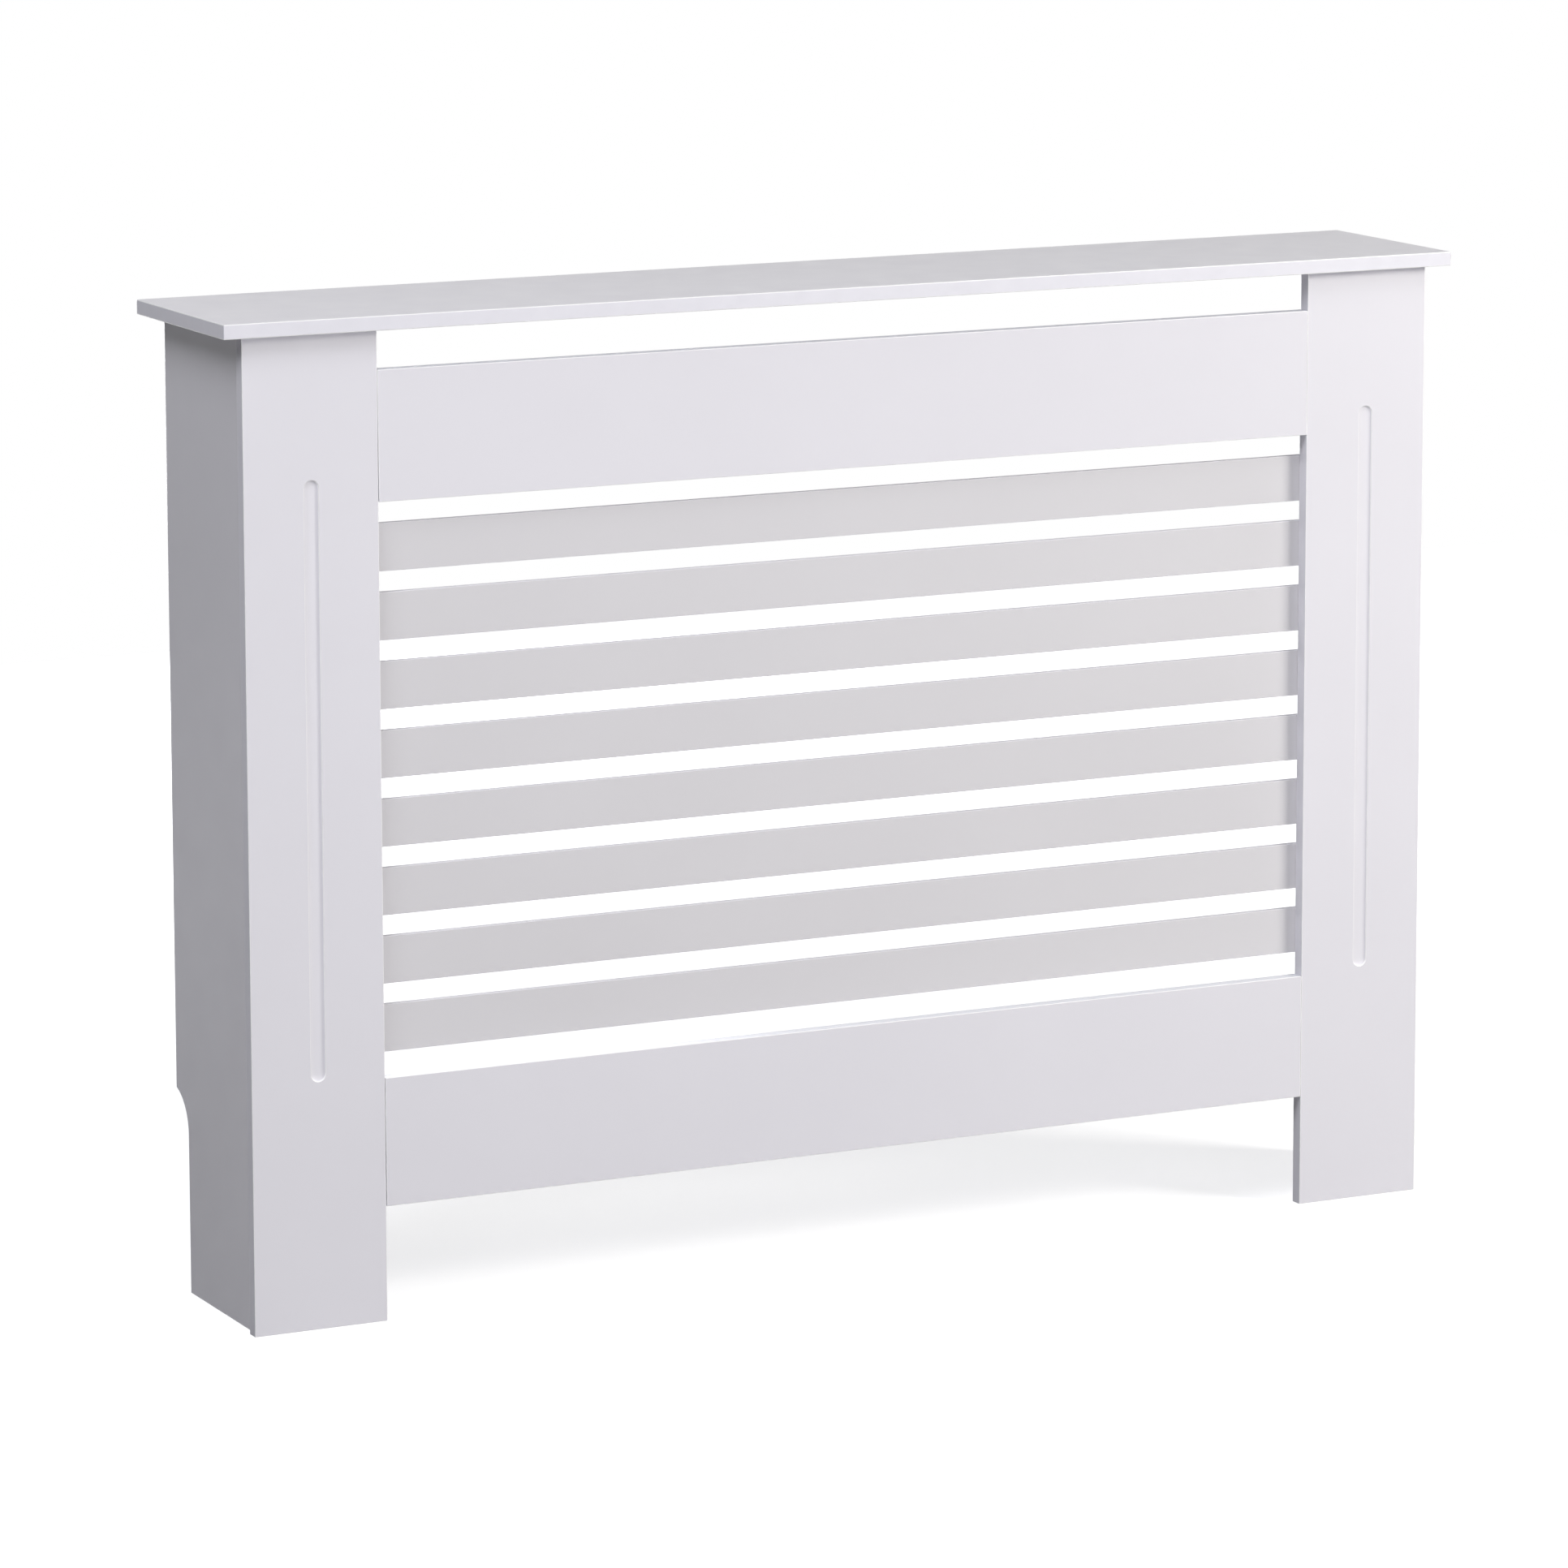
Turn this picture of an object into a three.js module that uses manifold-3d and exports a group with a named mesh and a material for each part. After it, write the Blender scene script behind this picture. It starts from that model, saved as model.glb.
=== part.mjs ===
// Radiator cover cabinet: a shelf, two side panels, and a slatted front of stiles, rails and slats.
// Millimetres. X runs along the wall, +Y points to the wall, +Z is up.
// The origin is on the floor, under the middle of the shelf.

import * as THREE from 'three';
import { mergeVertices } from 'three/addons/utils/BufferGeometryUtils.js';
import Module from 'manifold-3d';

const wasm = await Module();
wasm.setup();

// ---------------------------------------------------------------- overall sizes
const SHELF_LENGTH = 1120;
const SHELF_DEPTH = 190;
const HEIGHT = 820;
const BOARD = 12;

const SHELF_END_OVERHANG = 19;
const SHELF_FRONT_OVERHANG = 11;

// ---------------------------------------------------------------- front frame
const STILE_WIDTH = 115;
const RAIL_HEIGHT = 106;
const TOP_VENT = 32.5;
const FLOOR_GAP = 95;

const GROOVE_WIDTH = 13;
const GROOVE_DEPTH = 2;
const GROOVE_LOW_END = 204;
const GROOVE_TOP_MARGIN = 117;

const SLAT_COUNT = 8;
const SLAT_HEIGHT = 39;
const SLAT_THICKNESS = 6;
const SLAT_LAP = 45;
const GAP_NEXT_TO_RAILS = 18.75;

// ---------------------------------------------------------------- side panels
const SIDE_INSET = 4.5;
const NOTCH_DEPTH = 26;
const NOTCH_STRAIGHT = 133;
const NOTCH_RADIUS = 36;

// ---------------------------------------------------------------- fittings
const FIT = 0.3;

const SCREW_RADIUS = 1.75;
const SCREW_HEAD_RADIUS = 3.5;
const SCREW_BITE = 8;
const SCREW_POINT = 2.5;
const PAN_HEAD_HEIGHT = 2;
const PAN_HEAD_CROWN_RADIUS = 2.8;

const DOWEL_RADIUS = 3;
const DOWEL_LENGTH = 30;
const DOWEL_CHAMFER = 1;
const DOWEL_END_ROOM = 0.5;
const DOWEL_OFFSET = 25;

const CAM_RADIUS = 6;
const CAM_DEPTH = 9;
const CAM_SETBACK = 24;
const CAM_SLOT_DEPTH = 7;
const CAM_RECESS_WIDTH = 1.4;
const CAM_RECESS_LENGTH = 7;
const CAM_RECESS_DEPTH = 1.5;

const BOLT_THREAD_RADIUS = 3;
const BOLT_SHANK_RADIUS = 2;
const BOLT_HEAD_RADIUS = 2.6;
const BOLT_HEAD_LENGTH = 3;
const BOLT_FACE_BITE = 8;
const BOLT_EDGE_BITE = 11;
const RAIL_BOLT_DROP = 25;
const SIDE_BOLT_MARGIN = 90;

const BRACKET_LEG = 25;
const BRACKET_WIDTH = 20;
const BRACKET_STEEL = 1.5;
const BRACKET_HOLE_RADIUS = 2.5;
const BRACKET_SCREW_BITE = 9;
const BRACKET_FROM_SIDE = 20;

const ROUND_SIDES = 16;
const SMALL_ROUND_SIDES = 12;
const ARC_STEPS = 14;
const GROOVE_RINGS = 6;
const CUT_PAST = 1;
const SAME_POINT = 1e-4;

// ---------------------------------------------------------------- places worked out from the sizes
const stileTop = HEIGHT - BOARD;
const frontX = SHELF_LENGTH / 2 - SHELF_END_OVERHANG;
const openingX = frontX - STILE_WIDTH;
const wallY = SHELF_DEPTH / 2;
const stileFrontY = -wallY + SHELF_FRONT_OVERHANG;
const stileBackY = stileFrontY + BOARD;
const stileMidY = (stileFrontY + stileBackY) / 2;
const sideOuterX = frontX - SIDE_INSET;
const sideInnerX = sideOuterX - BOARD;
const sideMidX = (sideOuterX + sideInnerX) / 2;
const sideMidY = (stileBackY + wallY) / 2;
const railTopHigh = stileTop - TOP_VENT;
const railTopLow = railTopHigh - RAIL_HEIGHT;
const railBottomLow = FLOOR_GAP;
const railBottomHigh = railBottomLow + RAIL_HEIGHT;

const highestSlatZ = railTopLow - GAP_NEXT_TO_RAILS - SLAT_HEIGHT / 2;
const lowestSlatZ = railBottomHigh + GAP_NEXT_TO_RAILS + SLAT_HEIGHT / 2;
const slatPitch = (highestSlatZ - lowestSlatZ) / (SLAT_COUNT - 1);
const slatReachX = openingX + SLAT_LAP;
const slatBackY = stileBackY + SLAT_THICKNESS;
const slatScrewX = openingX + SLAT_LAP / 2;

const sides = [['left', -1], ['right', 1]];

// ---------------------------------------------------------------- finishes
const paint = { color: 0xe4e3e9, roughness: 0.45, metalness: 0 };
const slatPaint = { color: 0xdcdbdf, roughness: 0.5, metalness: 0 };
const zincSteel = { color: 0xb9bbbd, roughness: 0.35, metalness: 1 };
const camMetal = { color: 0x9fa1a4, roughness: 0.45, metalness: 1 };
const beech = { color: 0xcfa878, roughness: 0.7, metalness: 0 };

// ---------------------------------------------------------------- shape helpers
function solidOf(geometry) {
  const bare = geometry.index ? geometry.clone() : geometry;
  bare.deleteAttribute('normal');
  bare.deleteAttribute('uv');
  const merged = mergeVertices(bare, SAME_POINT);
  return new wasm.Manifold(new wasm.Mesh({
    numProp: 3,
    vertProperties: new Float32Array(merged.attributes.position.array),
    triVerts: new Uint32Array(merged.index.array),
  }));
}

function geometryOf(solid) {
  const mesh = solid.getMesh();
  const geometry = new THREE.BufferGeometry();
  geometry.setAttribute('position', new THREE.BufferAttribute(new Float32Array(mesh.vertProperties), 3));
  geometry.setIndex(new THREE.BufferAttribute(new Uint32Array(mesh.triVerts), 1));
  geometry.computeVertexNormals();
  return geometry;
}

// A block between two corners.
function block(low, high) {
  const size = high.map((value, axis) => value - low[axis]);
  const middle = high.map((value, axis) => (value + low[axis]) / 2);
  return new THREE.BoxGeometry(...size).translate(...middle);
}

// A turned shape. The profile gives [radius, distance along the axis] from tail to tip,
// starting and ending on the axis. The tail sits at start and the axis points along direction.
function turned(profile, start, direction, roundSides) {
  const points = profile.map(([radius, along]) => new THREE.Vector2(radius, along));
  const aim = new THREE.Quaternion().setFromUnitVectors(
    new THREE.Vector3(0, 1, 0),
    new THREE.Vector3(...direction),
  );
  return new THREE.LatheGeometry(points, roundSides).applyQuaternion(aim).translate(...start);
}

function rod(radius, length, start, direction, roundSides = ROUND_SIDES) {
  return turned([[0, 0], [radius, 0], [radius, length], [0, length]], start, direction, roundSides);
}

function cut(geometry, ...tools) {
  return geometryOf(tools.reduce((solid, tool) => solid.subtract(solidOf(tool)), solidOf(geometry)));
}

const cabinet = new THREE.Group();
cabinet.name = 'radiator_cover';

function add(name, geometry, finish) {
  const mesh = new THREE.Mesh(geometry, new THREE.MeshStandardMaterial(finish));
  mesh.name = name;
  cabinet.add(mesh);
}

// ---------------------------------------------------------------- fixing points
const slatMiddle = (row) => highestSlatZ - row * slatPitch;
const slatRows = Array.from({ length: SLAT_COUNT }, (_, row) => row);

const rails = [
  { name: 'top', low: railTopLow },
  { name: 'bottom', low: railBottomLow },
].map((rail) => ({
  ...rail,
  high: rail.low + RAIL_HEIGHT,
  dowelZ: rail.low + RAIL_HEIGHT / 2 + DOWEL_OFFSET,
  boltZ: rail.low + RAIL_HEIGHT / 2 - RAIL_BOLT_DROP,
}));

const sideBolts = [
  { name: 'upper', z: stileTop - SIDE_BOLT_MARGIN },
  { name: 'lower', z: SIDE_BOLT_MARGIN },
];

// ---------------------------------------------------------------- fittings: screws, dowels, cams, bolts
// A countersunk screw, from the flat of its head to its point.
function countersunkScrew(start, direction, grip) {
  const sink = SCREW_HEAD_RADIUS - SCREW_RADIUS;
  const length = grip + SCREW_BITE;
  const profile = [
    [0, 0],
    [SCREW_HEAD_RADIUS, 0],
    [SCREW_RADIUS, sink],
    [SCREW_RADIUS, length - SCREW_POINT],
    [0, length],
  ];
  return turned(profile, start, direction, SMALL_ROUND_SIDES);
}

// The hole for that screw, wider all round by FIT.
function countersunkHole(start, direction, grip) {
  const sink = SCREW_HEAD_RADIUS - SCREW_RADIUS;
  const profile = [
    [0, -CUT_PAST],
    [SCREW_HEAD_RADIUS + FIT + CUT_PAST, -CUT_PAST],
    [SCREW_RADIUS + FIT, sink],
    [SCREW_RADIUS + FIT, grip + SCREW_BITE + FIT],
    [0, grip + SCREW_BITE + FIT],
  ];
  return turned(profile, start, direction, SMALL_ROUND_SIDES);
}

function dowel(middle, direction) {
  const start = middle.map((value, axis) => value - direction[axis] * DOWEL_LENGTH / 2);
  const profile = [
    [0, 0],
    [DOWEL_RADIUS - DOWEL_CHAMFER, 0],
    [DOWEL_RADIUS, DOWEL_CHAMFER],
    [DOWEL_RADIUS, DOWEL_LENGTH - DOWEL_CHAMFER],
    [DOWEL_RADIUS - DOWEL_CHAMFER, DOWEL_LENGTH],
    [0, DOWEL_LENGTH],
  ];
  return turned(profile, start, direction, SMALL_ROUND_SIDES);
}

function dowelHole(middle, direction) {
  const length = DOWEL_LENGTH + 2 * DOWEL_END_ROOM;
  const start = middle.map((value, axis) => value - direction[axis] * length / 2);
  return rod(DOWEL_RADIUS + FIT, length, start, direction, SMALL_ROUND_SIDES);
}

// A cam bolt: its thread is sunk by bite into one board, and its head ends inside the cam.
// joint is where the two boards meet, and direction points from the thread to the head.
function camBolt(joint, direction, bite) {
  const start = joint.map((value, axis) => value - direction[axis] * bite);
  const reach = bite + CAM_SETBACK;
  const profile = [
    [0, 0],
    [BOLT_THREAD_RADIUS, 0],
    [BOLT_THREAD_RADIUS, bite],
    [BOLT_SHANK_RADIUS, bite],
    [BOLT_SHANK_RADIUS, reach - BOLT_HEAD_LENGTH],
    [BOLT_HEAD_RADIUS, reach - BOLT_HEAD_LENGTH],
    [BOLT_HEAD_RADIUS, reach],
    [0, reach],
  ];
  return turned(profile, start, direction, SMALL_ROUND_SIDES);
}

function boltThreadHole(joint, direction, bite) {
  const past = joint.map((value, axis) => value + direction[axis] * CUT_PAST);
  const back = direction.map((value) => -value);
  return rod(BOLT_THREAD_RADIUS + FIT, bite + FIT + CUT_PAST, past, back, SMALL_ROUND_SIDES);
}

function boltShankHole(joint, direction) {
  const start = joint.map((value, axis) => value - direction[axis] * CUT_PAST);
  return rod(BOLT_HEAD_RADIUS + FIT, CAM_SETBACK + CUT_PAST, start, direction, SMALL_ROUND_SIDES);
}

// A cam lock: a disc set into a board's face. centre is the middle of its outer flat, open points
// out of that face, and direction is the bolt's, which comes in through the slot in the rim.
function camLock(centre, open, direction) {
  const into = open.map((value) => -value);
  const across = new THREE.Vector3(...open).cross(new THREE.Vector3(...direction)).toArray();
  const slotHalf = BOLT_HEAD_RADIUS + FIT;
  const boltDepth = BOARD / 2;
  const at = (alongOpen, alongBolt, alongAcross) => centre.map(
    (value, axis) => value
      + open[axis] * alongOpen
      + direction[axis] * alongBolt
      + across[axis] * alongAcross,
  );
  const between = (a, b) => block(
    a.map((value, axis) => Math.min(value, b[axis])),
    a.map((value, axis) => Math.max(value, b[axis])),
  );
  const slot = between(
    at(-boltDepth + slotHalf, -CAM_RADIUS - CUT_PAST, -slotHalf),
    at(-boltDepth - slotHalf, CAM_SLOT_DEPTH - CAM_RADIUS, slotHalf),
  );
  const recess = (halfAlong, halfAcross) => between(
    at(CUT_PAST, -halfAlong, -halfAcross),
    at(-CAM_RECESS_DEPTH, halfAlong, halfAcross),
  );
  return cut(
    rod(CAM_RADIUS, CAM_DEPTH, centre, into),
    slot,
    recess(CAM_RECESS_LENGTH / 2, CAM_RECESS_WIDTH / 2),
    recess(CAM_RECESS_WIDTH / 2, CAM_RECESS_LENGTH / 2),
  );
}

function camHole(centre, open) {
  const start = centre.map((value, axis) => value + open[axis] * CUT_PAST);
  const into = open.map((value) => -value);
  return rod(CAM_RADIUS + FIT, CAM_DEPTH + FIT + CUT_PAST, start, into);
}

// ---------------------------------------------------------------- shelf
function shelfBoltJoint(hand) {
  return [hand * sideMidX, sideMidY, stileTop];
}

function bracketScrewHead(hand) {
  const x = hand * (sideInnerX - BRACKET_FROM_SIDE - BRACKET_WIDTH / 2);
  return [x, wallY - BRACKET_LEG / 2, stileTop - BRACKET_STEEL];
}

function shelf() {
  const board = block([-SHELF_LENGTH / 2, -wallY, stileTop], [SHELF_LENGTH / 2, wallY, HEIGHT]);
  const threads = sides.map(([, hand]) => boltThreadHole(shelfBoltJoint(hand), [0, 0, -1], BOLT_FACE_BITE));
  const screwHoles = sides.map(([, hand]) => rod(
    SCREW_RADIUS + FIT,
    BRACKET_STEEL + BRACKET_SCREW_BITE + FIT,
    bracketScrewHead(hand),
    [0, 0, 1],
    SMALL_ROUND_SIDES,
  ));
  return cut(board, ...threads, ...screwHoles);
}

add('shelf', shelf(), paint);

// ---------------------------------------------------------------- side panels
// The outline is drawn in the panel's own plane: across is the distance from the stile's back
// face, up is the height. The skirting notch is a straight cut that ends in an arc.
function sidePanelOutline() {
  const depth = wallY - stileBackY;
  const notchAcross = depth - NOTCH_DEPTH;
  const arcMiddle = notchAcross + NOTCH_RADIUS;
  const arcEnd = Math.PI - Math.acos((NOTCH_RADIUS - NOTCH_DEPTH) / NOTCH_RADIUS);
  const outline = new THREE.Shape();
  outline.moveTo(0, 0);
  outline.lineTo(notchAcross, 0);
  outline.lineTo(notchAcross, NOTCH_STRAIGHT);
  outline.absarc(arcMiddle, NOTCH_STRAIGHT, NOTCH_RADIUS, Math.PI, arcEnd, true);
  outline.lineTo(depth, stileTop);
  outline.lineTo(0, stileTop);
  outline.closePath();
  return outline;
}

function sidePanel(hand) {
  const lowX = hand > 0 ? sideInnerX : -sideOuterX;
  const board = new THREE.ExtrudeGeometry(sidePanelOutline(), {
    depth: BOARD,
    bevelEnabled: false,
    curveSegments: ARC_STEPS,
  });
  const standing = new THREE.Matrix4().makeBasis(
    new THREE.Vector3(0, 1, 0),
    new THREE.Vector3(0, 0, 1),
    new THREE.Vector3(1, 0, 0),
  );
  board.applyMatrix4(standing).translate(lowX, stileBackY, 0);
  const open = [-hand, 0, 0];
  const tools = [];
  for (const bolt of sideBolts) {
    tools.push(boltShankHole([hand * sideMidX, stileBackY, bolt.z], [0, 1, 0]));
    tools.push(camHole([hand * sideInnerX, stileBackY + CAM_SETBACK, bolt.z], open));
  }
  tools.push(boltShankHole(shelfBoltJoint(hand), [0, 0, -1]));
  tools.push(camHole([hand * sideInnerX, sideMidY, stileTop - CAM_SETBACK], open));
  return cut(board, ...tools);
}

for (const [side, hand] of sides) {
  add(`side_panel_${side}`, sidePanel(hand), paint);
}

// ---------------------------------------------------------------- stiles
// The groove is a shallow cove with round ends: a capsule sunk into the face, so that it opens
// to GROOVE_WIDTH at the surface and is GROOVE_DEPTH deep along the middle.
function grooveCutter(middleX) {
  const radius = (GROOVE_WIDTH ** 2 / 4 + GROOVE_DEPTH ** 2) / (2 * GROOVE_DEPTH);
  const lowZ = GROOVE_LOW_END + GROOVE_WIDTH / 2;
  const highZ = stileTop - GROOVE_TOP_MARGIN - GROOVE_WIDTH / 2;
  const capsule = new THREE.CapsuleGeometry(radius, highZ - lowZ, GROOVE_RINGS, 2 * ROUND_SIDES);
  return capsule
    .rotateX(Math.PI / 2)
    .translate(middleX, stileFrontY + GROOVE_DEPTH - radius, (lowZ + highZ) / 2);
}

function stile(hand) {
  const edges = [hand * openingX, hand * frontX].sort((a, b) => a - b);
  const board = block([edges[0], stileFrontY, 0], [edges[1], stileBackY, stileTop]);
  const tools = [grooveCutter(hand * (frontX - STILE_WIDTH / 2))];
  for (const row of slatRows) {
    const head = [hand * slatScrewX, slatBackY, slatMiddle(row)];
    tools.push(countersunkHole(head, [0, -1, 0], SLAT_THICKNESS));
  }
  for (const rail of rails) {
    tools.push(dowelHole([hand * openingX, stileMidY, rail.dowelZ], [1, 0, 0]));
    tools.push(boltThreadHole([hand * openingX, stileMidY, rail.boltZ], [-hand, 0, 0], BOLT_EDGE_BITE));
  }
  for (const bolt of sideBolts) {
    tools.push(boltThreadHole([hand * sideMidX, stileBackY, bolt.z], [0, 1, 0], BOLT_FACE_BITE));
  }
  return cut(board, ...tools);
}

for (const [side, hand] of sides) {
  add(`stile_${side}`, stile(hand), paint);
}

// ---------------------------------------------------------------- rails
function railCamCentre(hand, rail) {
  return [hand * (openingX - CAM_SETBACK), stileBackY, rail.boltZ];
}

function railBoard(rail) {
  const board = block([-openingX, stileFrontY, rail.low], [openingX, stileBackY, rail.high]);
  const tools = [];
  for (const [, hand] of sides) {
    tools.push(dowelHole([hand * openingX, stileMidY, rail.dowelZ], [1, 0, 0]));
    tools.push(boltShankHole([hand * openingX, stileMidY, rail.boltZ], [-hand, 0, 0]));
    tools.push(camHole(railCamCentre(hand, rail), [0, 1, 0]));
  }
  return cut(board, ...tools);
}

for (const rail of rails) {
  add(`rail_${rail.name}`, railBoard(rail), paint);
}

// ---------------------------------------------------------------- slats and their screws
function slat(row) {
  const middle = slatMiddle(row);
  const board = block(
    [-slatReachX, stileBackY, middle - SLAT_HEIGHT / 2],
    [slatReachX, slatBackY, middle + SLAT_HEIGHT / 2],
  );
  const holes = sides.map(([, hand]) => countersunkHole(
    [hand * slatScrewX, slatBackY, middle],
    [0, -1, 0],
    SLAT_THICKNESS,
  ));
  return cut(board, ...holes);
}

for (const row of slatRows) {
  add(`slat_${row + 1}`, slat(row), slatPaint);
  for (const [side, hand] of sides) {
    const head = [hand * slatScrewX, slatBackY, slatMiddle(row)];
    const screw = countersunkScrew(head, [0, -1, 0], SLAT_THICKNESS);
    add(`slat_screw_${row + 1}_${side}`, cut(screw), zincSteel);
  }
}

// ---------------------------------------------------------------- rail fittings
for (const rail of rails) {
  for (const [side, hand] of sides) {
    const boltDirection = [-hand, 0, 0];
    const boltJoint = [hand * openingX, stileMidY, rail.boltZ];
    const dowelMiddle = [hand * openingX, stileMidY, rail.dowelZ];
    add(`rail_dowel_${rail.name}_${side}`, cut(dowel(dowelMiddle, [1, 0, 0])), beech);
    add(`rail_bolt_${rail.name}_${side}`, cut(camBolt(boltJoint, boltDirection, BOLT_EDGE_BITE)), zincSteel);
    add(
      `rail_cam_${rail.name}_${side}`,
      camLock(railCamCentre(hand, rail), [0, 1, 0], boltDirection),
      camMetal,
    );
  }
}

// ---------------------------------------------------------------- side panel fittings
for (const bolt of sideBolts) {
  for (const [side, hand] of sides) {
    const joint = [hand * sideMidX, stileBackY, bolt.z];
    const centre = [hand * sideInnerX, stileBackY + CAM_SETBACK, bolt.z];
    add(`side_bolt_${bolt.name}_${side}`, cut(camBolt(joint, [0, 1, 0], BOLT_FACE_BITE)), zincSteel);
    add(`side_cam_${bolt.name}_${side}`, camLock(centre, [-hand, 0, 0], [0, 1, 0]), camMetal);
  }
}

// ---------------------------------------------------------------- shelf fittings
for (const [side, hand] of sides) {
  const centre = [hand * sideInnerX, sideMidY, stileTop - CAM_SETBACK];
  add(`shelf_bolt_${side}`, cut(camBolt(shelfBoltJoint(hand), [0, 0, -1], BOLT_FACE_BITE)), zincSteel);
  add(`shelf_cam_${side}`, camLock(centre, [-hand, 0, 0], [0, 0, -1]), camMetal);
}

// ---------------------------------------------------------------- wall brackets
// A steel angle under the shelf's rear edge: one leg takes a screw up into the shelf, and the
// other, flush with the rear edge, has the hole for a wall screw.
function wallBracket(hand) {
  const [screwX, screwY, legUnder] = bracketScrewHead(hand);
  const lowX = screwX - BRACKET_WIDTH / 2;
  const highX = screwX + BRACKET_WIDTH / 2;
  const shelfLeg = block([lowX, wallY - BRACKET_LEG, legUnder], [highX, wallY, stileTop]);
  const wallLeg = block([lowX, wallY - BRACKET_STEEL, stileTop - BRACKET_LEG], [highX, wallY, stileTop]);
  const angle = geometryOf(solidOf(shelfLeg).add(solidOf(wallLeg)));
  const reach = BRACKET_STEEL + 2 * CUT_PAST;
  const wallHoleStart = [screwX, wallY - BRACKET_STEEL - CUT_PAST, stileTop - BRACKET_LEG / 2 - BRACKET_STEEL];
  return cut(
    angle,
    rod(BRACKET_HOLE_RADIUS, reach, [screwX, screwY, legUnder - CUT_PAST], [0, 0, 1]),
    rod(BRACKET_HOLE_RADIUS, reach, wallHoleStart, [0, 1, 0]),
  );
}

// A pan head screw: its head sits under the bracket's leg.
function panHeadScrew(hand) {
  const [x, y, underLeg] = bracketScrewHead(hand);
  const shoulder = PAN_HEAD_HEIGHT;
  const length = shoulder + BRACKET_STEEL + BRACKET_SCREW_BITE;
  const profile = [
    [0, 0],
    [PAN_HEAD_CROWN_RADIUS, 0],
    [SCREW_HEAD_RADIUS, shoulder / 2],
    [SCREW_HEAD_RADIUS, shoulder],
    [SCREW_RADIUS, shoulder],
    [SCREW_RADIUS, length - SCREW_POINT],
    [0, length],
  ];
  return turned(profile, [x, y, underLeg - shoulder], [0, 0, 1], SMALL_ROUND_SIDES);
}

for (const [side, hand] of sides) {
  add(`wall_bracket_${side}`, wallBracket(hand), zincSteel);
  add(`bracket_screw_${side}`, cut(panHeadScrew(hand)), zincSteel);
}

export default cabinet;
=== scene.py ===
"""A white slatted radiator cover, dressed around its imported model. Metres, +Z up, the front faces -Y."""

import math

import bmesh
import bpy
from mathutils import Matrix, Vector


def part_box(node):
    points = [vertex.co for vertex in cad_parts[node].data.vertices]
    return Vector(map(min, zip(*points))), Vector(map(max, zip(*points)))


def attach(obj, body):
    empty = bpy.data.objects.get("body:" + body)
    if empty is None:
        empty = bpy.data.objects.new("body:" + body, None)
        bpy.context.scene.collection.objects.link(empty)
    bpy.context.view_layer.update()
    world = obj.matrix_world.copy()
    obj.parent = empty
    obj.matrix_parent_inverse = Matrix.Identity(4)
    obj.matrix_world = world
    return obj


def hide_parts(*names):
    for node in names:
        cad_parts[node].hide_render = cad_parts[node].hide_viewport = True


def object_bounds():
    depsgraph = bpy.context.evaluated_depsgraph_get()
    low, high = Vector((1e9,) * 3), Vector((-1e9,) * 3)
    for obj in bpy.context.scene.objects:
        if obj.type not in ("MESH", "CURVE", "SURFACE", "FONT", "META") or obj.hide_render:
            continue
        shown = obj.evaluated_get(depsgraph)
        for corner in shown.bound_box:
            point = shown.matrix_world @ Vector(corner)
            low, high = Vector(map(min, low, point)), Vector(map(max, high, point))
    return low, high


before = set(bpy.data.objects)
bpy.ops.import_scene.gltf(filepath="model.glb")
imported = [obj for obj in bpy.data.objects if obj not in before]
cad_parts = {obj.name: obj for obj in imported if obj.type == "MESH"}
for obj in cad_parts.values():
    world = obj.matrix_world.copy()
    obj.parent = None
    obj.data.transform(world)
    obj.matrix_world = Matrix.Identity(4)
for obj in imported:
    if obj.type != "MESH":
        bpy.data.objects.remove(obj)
cad_low, cad_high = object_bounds()

MM = 0.001

# ---------------------------------------------------------------- edges and joints
SHELF_ARRIS = 0.8 * MM
BOARD_ARRIS = 0.55 * MM
SLAT_ARRIS = 0.4 * MM
ARRIS_STEPS = 3
ARRIS_ROUND = 0.5           # the bevel's profile: a quarter round
PANEL_CORNER = 20           # the least turn, in degrees, that counts as a side panel's edge
FLAT = 0.99                 # how squarely a face looks along its board's thickness, as a cosine

# gaps between a rail's end and its stile, which open downwards on the left: left top, left foot, right
SEAMS = {
    "rail_top": (0.15 * MM, 0.7 * MM, 0.15 * MM),
    "rail_bottom": (0.4 * MM, 0.7 * MM, 0.2 * MM),
}

# ---------------------------------------------------------------- skirting notch in the side panels
NOTCH_DEPTH = 26 * MM
NOTCH_STRAIGHT = 133 * MM
NOTCH_RADIUS = 36 * MM
NOTCH_STEPS = 28

# ---------------------------------------------------------------- routed groove in the stiles
GROOVE_WIDTH = 13 * MM
GROOVE_DEPTH = 2 * MM
GROOVE_LOW_END = 204 * MM
GROOVE_TOP_MARGIN = 117 * MM
GROOVE_RIM = 0.35 * MM
GROOVE_RIM_DEPTH = 1.1 * MM
GROOVE_FLARE = 4 * GROOVE_RIM   # how far the cutter widens and rises clear of the stile's face
GROOVE_CLEAR = 0.05 * MM        # how far above the face the groove's rim starts
GROOVE_SINK = 0.4 * GROOVE_RIM  # how far under the face the rounded section starts
GROOVE_FULLNESS = 2.6       # 2 is a plain round cove, more is a flatter floor with steeper walls
GROOVE_RINGS = 12
GROOVE_PACE = 0.8           # under 1, the rings crowd towards the groove's rim
GROOVE_LEAST = 0.02         # the innermost ring, as a share of the groove's half width
GROOVE_END_STEPS = 20
GROOVE_SKIN = 0.01 * MM     # what lies less deep than this is the stile's face
GROOVE_DEEPEST = GROOVE_DEPTH + 1 * MM

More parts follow.
